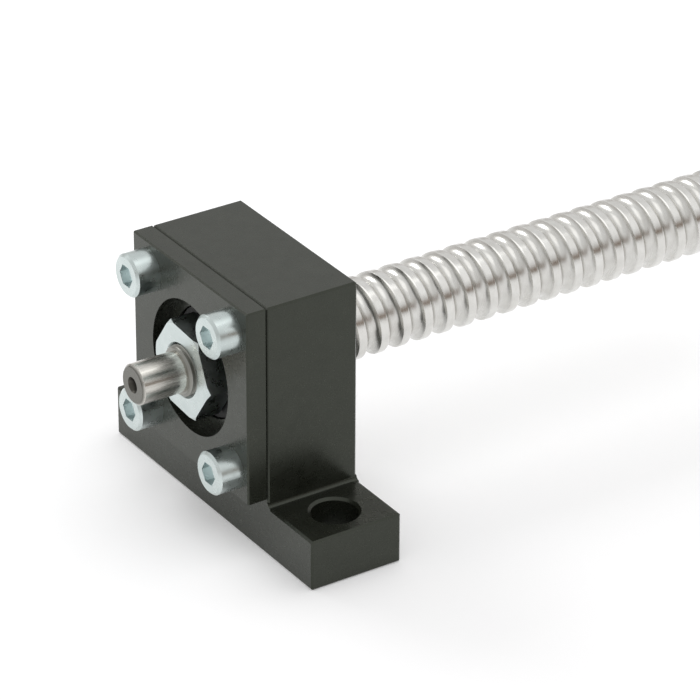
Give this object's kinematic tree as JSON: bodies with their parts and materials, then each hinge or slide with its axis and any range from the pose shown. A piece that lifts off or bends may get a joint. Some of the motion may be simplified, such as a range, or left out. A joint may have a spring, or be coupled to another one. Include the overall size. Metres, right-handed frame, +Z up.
{
  "type": "ball screw end support",
  "caption": "Fixed-side ball screw end support: flanged bearing block with bolted cover plate, angular-contact bearings, seals, lock nut and its ball screw.",
  "frame": {"origin": "centre of the base mounting face, midway between the feet and midway through the block's depth", "axes": "+Z up from the mounting face, +Y along the ball screw away from the drive end, X across the feet"},
  "size_m": [0.07, 0.1383, 0.052],
  "materials": {
    "black_steel": "satin black-oxide steel",
    "zinc_plate": "bright zinc plating",
    "bearing_steel": "ground bearing steel",
    "ground_steel": "ground and polished steel",
    "seal_rubber": "matt black rubber",
    "cage": "machined brass",
    "collar_steel": "turned steel",
    "black_screw": "black-oxide steel",
    "brass": "turned brass"
  },
  "bodies": {
    "support": {"housing": "black_steel", "cover_plate": "black_steel", "cover_screws": "zinc_plate", "front_outer_ring": "bearing_steel", "rear_outer_ring": "bearing_steel", "front_seal": "seal_rubber", "rear_seal": "seal_rubber"},
    "spindle": {"ball_screw": "ground_steel", "front_inner_ring": "bearing_steel", "rear_inner_ring": "bearing_steel", "front_collar": "collar_steel", "rear_collar": "collar_steel", "lock_nut": "zinc_plate", "nut_grub_screws": "black_screw", "nut_pads": "brass"},
    "front_ball_set": {"front_balls": "bearing_steel", "front_cage": "cage"},
    "rear_ball_set": {"rear_balls": "bearing_steel", "rear_cage": "cage"}
  },
  "joints": [
    {"name": "screw_spin", "type": "hinge", "parent": "support", "child": "spindle", "pos_m": [0, 0, 0.032], "axis": [0, 1, 0], "continuous": true},
    {"name": "front_balls_roll", "type": "hinge", "parent": "support", "child": "front_ball_set", "pos_m": [0, -0.0043, 0.032], "axis": [0, 1, 0], "continuous": true},
    {"name": "rear_balls_roll", "type": "hinge", "parent": "support", "child": "rear_ball_set", "pos_m": [0, 0.0037, 0.032], "axis": [0, 1, 0], "continuous": true}
  ],
  "couplings": [
    {"joint": "front_balls_roll", "follows": "screw_spin", "ratio": 0.3677},
    {"joint": "rear_balls_roll", "follows": "screw_spin", "ratio": 0.3677}
  ]
}
